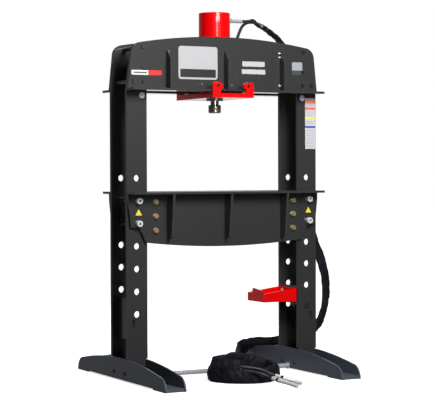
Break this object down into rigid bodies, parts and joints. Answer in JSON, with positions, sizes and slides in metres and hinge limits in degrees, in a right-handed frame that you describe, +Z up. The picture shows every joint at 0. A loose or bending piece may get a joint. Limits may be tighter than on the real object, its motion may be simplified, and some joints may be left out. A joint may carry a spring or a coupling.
{
  "type": "hydraulic shop press",
  "caption": "Floor-standing hydraulic shop press with an arched head, a rolling cylinder carriage, a pinned bed, channel feet and hoses in a fabric sleeve.",
  "frame": {"origin": "on the floor, at the middle of the frame between the two uprights", "axes": "+X to the right seen from the front, +Y to the back, +Z up"},
  "size_m": [1.3714, 1.238, 1.883],
  "materials": {
    "frame_paint": "semi-gloss powder coat",
    "foot_paint": "gloss enamel",
    "red_paint": "gloss enamel",
    "yellow_zinc": "yellow zinc plate",
    "bright_zinc": "bright zinc plate",
    "black_oxide": "black oxide",
    "bare_steel": "machined",
    "chromed_rod": "polished",
    "seal_rubber": "matte",
    "hose_rubber": "satin",
    "sleeve_fabric": "woven nylon"
  },
  "bodies": {
    "frame": {"accessory_holder": "red_paint", "bed_bolts": "yellow_zinc", "bed_flanges": "frame_paint", "bed_front_plate": "frame_paint", "bed_nuts": "yellow_zinc", "bed_rear_plate": "frame_paint", "bed_ribs": "frame_paint", "bed_washers": "yellow_zinc", "cap_coupling": "bright_zinc", "cap_hose_tail": "hose_rubber", "floor_tie_tube": "bright_zinc", "foot_bases": "foot_paint", "foot_blocks": "frame_paint", "foot_bolts": "black_oxide", "head_bolts": "black_oxide", "head_flanges": "frame_paint", "head_front_plate": "frame_paint", "head_rear_plate": "frame_paint", "head_ribs": "frame_paint", "holder_bolts": "bright_zinc", "holder_mount_plate": "frame_paint", "hose_sleeve": "sleeve_fabric", "left_foot_plates": "foot_paint", "left_front_upright": "frame_paint", "left_rear_upright": "frame_paint", "right_foot_plates": "foot_paint", "right_front_upright": "frame_paint", "right_rear_upright": "frame_paint", "rod_coupling": "bright_zinc", "rod_hose_tail": "hose_rubber", "spacer_tubes": "frame_paint", "upright_battens": "frame_paint"},
    "carriage": {"carriage_plate": "red_paint", "carriage_walls": "red_paint", "carriage_front_bracket": "red_paint", "carriage_rear_bracket": "red_paint", "roller_axles": "black_oxide", "carriage_tie_bars": "black_oxide", "cylinder_tube": "red_paint", "cylinder_cap": "red_paint", "cylinder_gland": "bare_steel", "rod_seal": "seal_rubber", "cap_port_fitting": "bright_zinc", "rod_port_fitting": "bright_zinc", "cap_hose": "hose_rubber", "rod_hose": "hose_rubber"},
    "ram": {"ram_rod": "chromed_rod", "piston": "bare_steel", "piston_seal": "seal_rubber", "piston_nut": "bright_zinc", "ram_nose": "bare_steel", "nose_screw": "bright_zinc"},
    "front_left_roller": {"front_left_roller": "bare_steel"},
    "front_right_roller": {"front_right_roller": "bare_steel"},
    "rear_left_roller": {"rear_left_roller": "bare_steel"},
    "rear_right_roller": {"rear_right_roller": "bare_steel"},
    "bed_pin_1": {"bed_pin_1": "bare_steel"},
    "bed_pin_2": {"bed_pin_2": "bare_steel"},
    "bed_pin_3": {"bed_pin_3": "bare_steel"},
    "bed_pin_4": {"bed_pin_4": "bare_steel"}
  },
  "joints": [
    {"name": "carriage_slide", "type": "slide", "parent": "frame", "child": "carriage", "axis": [1, 0, 0], "range_m": [-0.28, 0.28], "deforming": ["hose_sleeve"]},
    {"name": "ram_slide", "type": "slide", "parent": "carriage", "child": "ram", "axis": [0, 0, -1], "range_m": [0, 0.25]},
    {"name": "front_left_roller_spin", "type": "hinge", "parent": "carriage", "child": "front_left_roller", "pos_m": [-0.088, -0.186, 1.4973], "axis": [0, 1, 0], "continuous": true},
    {"name": "front_right_roller_spin", "type": "hinge", "parent": "carriage", "child": "front_right_roller", "pos_m": [0.088, -0.186, 1.4973], "axis": [0, 1, 0], "continuous": true},
    {"name": "rear_left_roller_spin", "type": "hinge", "parent": "carriage", "child": "rear_left_roller", "pos_m": [-0.088, 0.186, 1.4973], "axis": [0, 1, 0], "continuous": true},
    {"name": "rear_right_roller_spin", "type": "hinge", "parent": "carriage", "child": "rear_right_roller", "pos_m": [0.088, 0.186, 1.4973], "axis": [0, 1, 0], "continuous": true},
    {"name": "bed_pin_1_slide", "type": "slide", "parent": "frame", "child": "bed_pin_1", "axis": [0, -1, 0], "range_m": [0, 0.27]},
    {"name": "bed_pin_2_slide", "type": "slide", "parent": "frame", "child": "bed_pin_2", "axis": [0, -1, 0], "range_m": [0, 0.27]},
    {"name": "bed_pin_3_slide", "type": "slide", "parent": "frame", "child": "bed_pin_3", "axis": [0, -1, 0], "range_m": [0, 0.27]},
    {"name": "bed_pin_4_slide", "type": "slide", "parent": "frame", "child": "bed_pin_4", "axis": [0, -1, 0], "range_m": [0, 0.27]}
  ],
  "couplings": [
    {"joint": "front_left_roller_spin", "follows": "carriage_slide", "rad_per_m": 52.632},
    {"joint": "front_right_roller_spin", "follows": "carriage_slide", "rad_per_m": 52.632},
    {"joint": "rear_left_roller_spin", "follows": "carriage_slide", "rad_per_m": 52.632},
    {"joint": "rear_right_roller_spin", "follows": "carriage_slide", "rad_per_m": 52.632}
  ]
}
